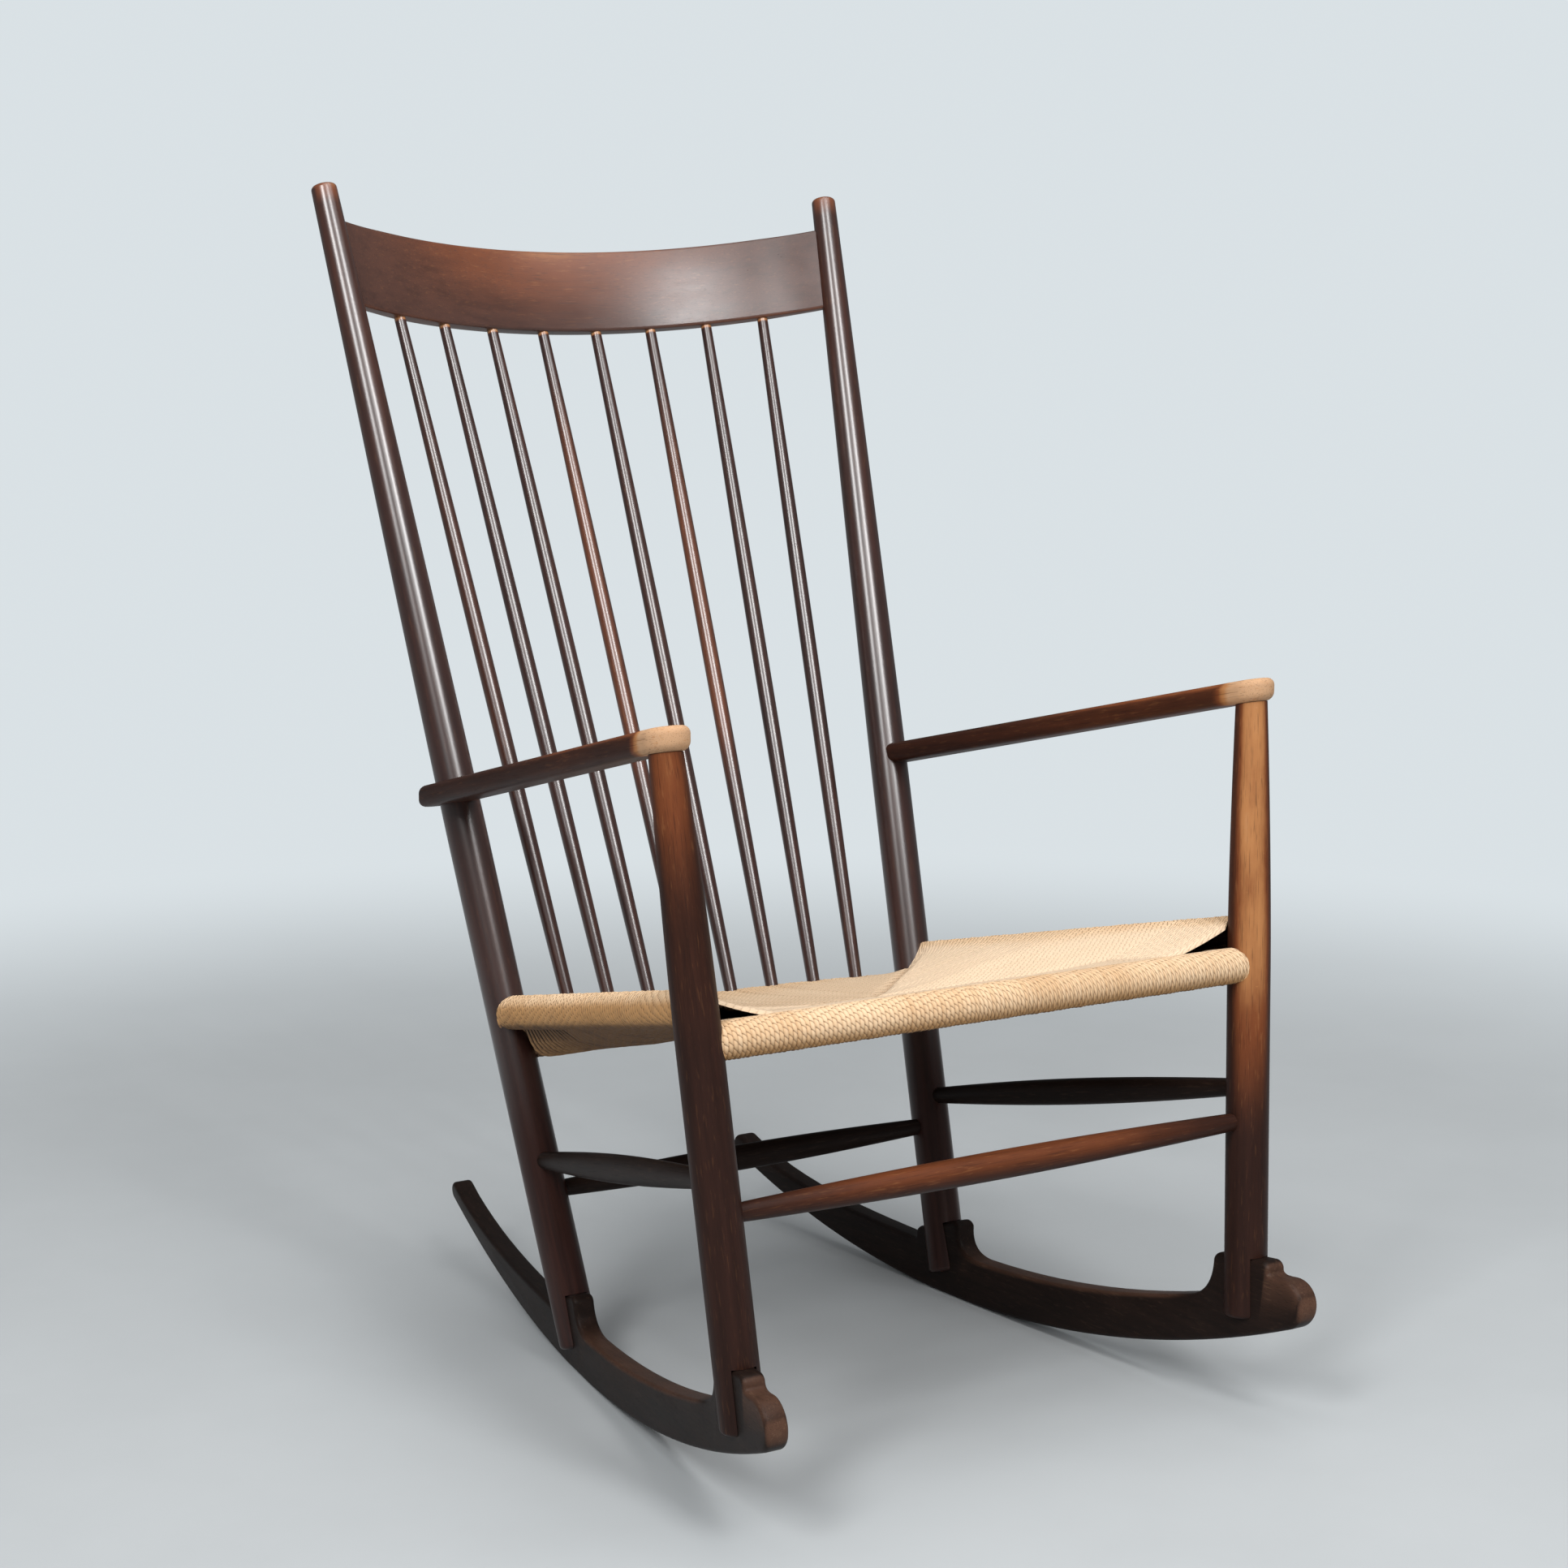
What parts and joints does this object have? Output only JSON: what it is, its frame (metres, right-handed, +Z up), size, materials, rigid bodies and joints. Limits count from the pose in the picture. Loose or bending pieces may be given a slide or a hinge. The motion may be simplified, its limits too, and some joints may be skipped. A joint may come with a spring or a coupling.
{
  "type": "spindle back rocking chair",
  "caption": "Rocking armchair in dark stained wood with a raked spindle back, a bent crest rail, slim arms and a woven paper cord seat on curved runners.",
  "frame": {"origin": "middle of the footprint on the floor under the runners", "axes": "+Z up, -Y to the front of the chair, +X to the right seen from the front"},
  "size_m": [0.6144, 0.8942, 1.0719],
  "materials": {
    "worn_wood": "dark brown stain worn to red brown, satin lacquer",
    "dark_wood": "very dark brown stain, satin lacquer",
    "black_wood": "almost black brown stain, satin lacquer",
    "paper_cord": "twisted kraft paper cord, natural"
  },
  "bodies": {
    "root": {"crest_rail": "worn_wood", "left_arm": "worn_wood", "right_arm": "worn_wood", "left_front_leg": "worn_wood", "right_front_leg": "worn_wood", "front_stretcher": "worn_wood", "left_back_post": "dark_wood", "right_back_post": "dark_wood", "spindle_1": "dark_wood", "spindle_2": "dark_wood", "spindle_3": "dark_wood", "spindle_4": "dark_wood", "spindle_5": "dark_wood", "spindle_6": "dark_wood", "spindle_7": "dark_wood", "spindle_8": "dark_wood", "left_arm_dowel": "dark_wood", "right_arm_dowel": "dark_wood", "left_runner": "black_wood", "right_runner": "black_wood", "left_stretcher": "black_wood", "right_stretcher": "black_wood", "back_stretcher": "black_wood", "front_seat_rail": "black_wood", "back_seat_rail": "black_wood", "left_seat_rail": "black_wood", "right_seat_rail": "black_wood", "woven_seat": "paper_cord"}
  },
  "joints": []
}
